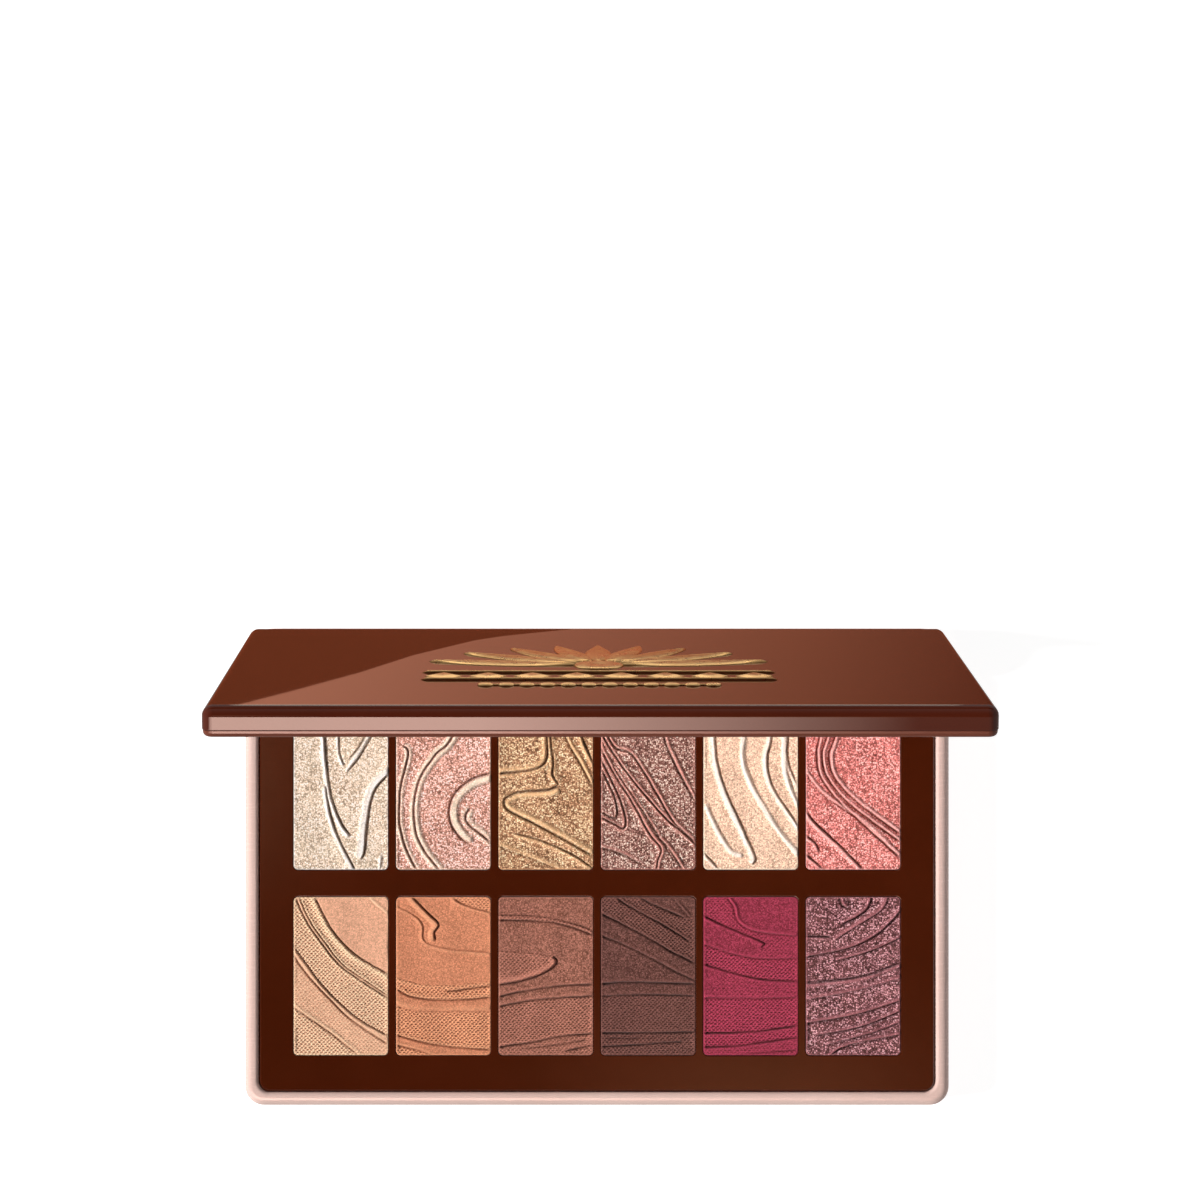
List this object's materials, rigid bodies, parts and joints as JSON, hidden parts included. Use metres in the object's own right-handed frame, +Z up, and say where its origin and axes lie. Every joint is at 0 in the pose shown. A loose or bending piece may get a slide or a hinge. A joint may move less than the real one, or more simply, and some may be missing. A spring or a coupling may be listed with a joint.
{
  "type": "eyeshadow palette",
  "caption": "Slim rectangular eyeshadow palette: a two-row tray of pressed powders in metal pans, with a mirrored lid on a full-width barrel hinge and a magnetic closure.",
  "frame": {"origin": "middle of the base's flat underside", "axes": "+Z up from the table, +X along the palette's length, -Y towards the front edge that the lid opens from"},
  "size_m": [0.13, 0.088, 0.0897],
  "materials": {
    "pink_shell": "pale pink gloss",
    "brown_tray": "dark brown gloss",
    "brown_lid": "chocolate brown high gloss",
    "brown_frame": "chocolate brown gloss",
    "gold_trim": "polished gold",
    "pan_metal": "satin",
    "steel": "ground",
    "magnet_metal": "plated",
    "mirror_silver": "silvered glass",
    "glue": "tacky film",
    "powder_ivory": "ivory shimmer",
    "powder_rose": "rose shimmer",
    "powder_gold": "gold shimmer",
    "powder_mauve": "mauve brown shimmer",
    "powder_peach": "peach shimmer",
    "powder_coral": "coral shimmer",
    "powder_beige": "matte beige",
    "powder_tan": "matte orange tan",
    "powder_taupe": "matte taupe",
    "powder_umber": "matte dark brown",
    "powder_berry": "matte berry",
    "powder_plum": "plum glitter"
  },
  "bodies": {
    "base": {"base_magnet_left": "magnet_metal", "base_magnet_right": "magnet_metal", "base_shell": "pink_shell", "pan_front_1": "pan_metal", "pan_front_2": "pan_metal", "pan_front_3": "pan_metal", "pan_front_4": "pan_metal", "pan_front_5": "pan_metal", "pan_front_6": "pan_metal", "pan_glue_pads": "glue", "pan_rear_1": "pan_metal", "pan_rear_2": "pan_metal", "pan_rear_3": "pan_metal", "pan_rear_4": "pan_metal", "pan_rear_5": "pan_metal", "pan_rear_6": "pan_metal", "pan_tray": "brown_tray", "powder_front_1": "powder_beige", "powder_front_2": "powder_tan", "powder_front_3": "powder_taupe", "powder_front_4": "powder_umber", "powder_front_5": "powder_berry", "powder_front_6": "powder_plum", "powder_rear_1": "powder_ivory", "powder_rear_2": "powder_rose", "powder_rear_3": "powder_gold", "powder_rear_4": "powder_mauve", "powder_rear_5": "powder_peach", "powder_rear_6": "powder_coral"},
    "lid": {"hinge_pin_left": "steel", "hinge_pin_right": "steel", "lid_cover": "brown_lid", "lid_magnet_left": "magnet_metal", "lid_magnet_right": "magnet_metal", "mirror_adhesive": "glue", "mirror_frame": "brown_frame", "mirror_glass": "mirror_silver", "ornament_band": "gold_trim", "ornament_fan": "gold_trim", "ornament_pearls": "gold_trim"}
  },
  "joints": [
    {"name": "lid_hinge", "type": "hinge", "parent": "base", "child": "lid", "pos_m": [0, 0.03885, 0.00805], "axis": [-1, 0, 0], "range_deg": [-81.8, 33]}
  ]
}
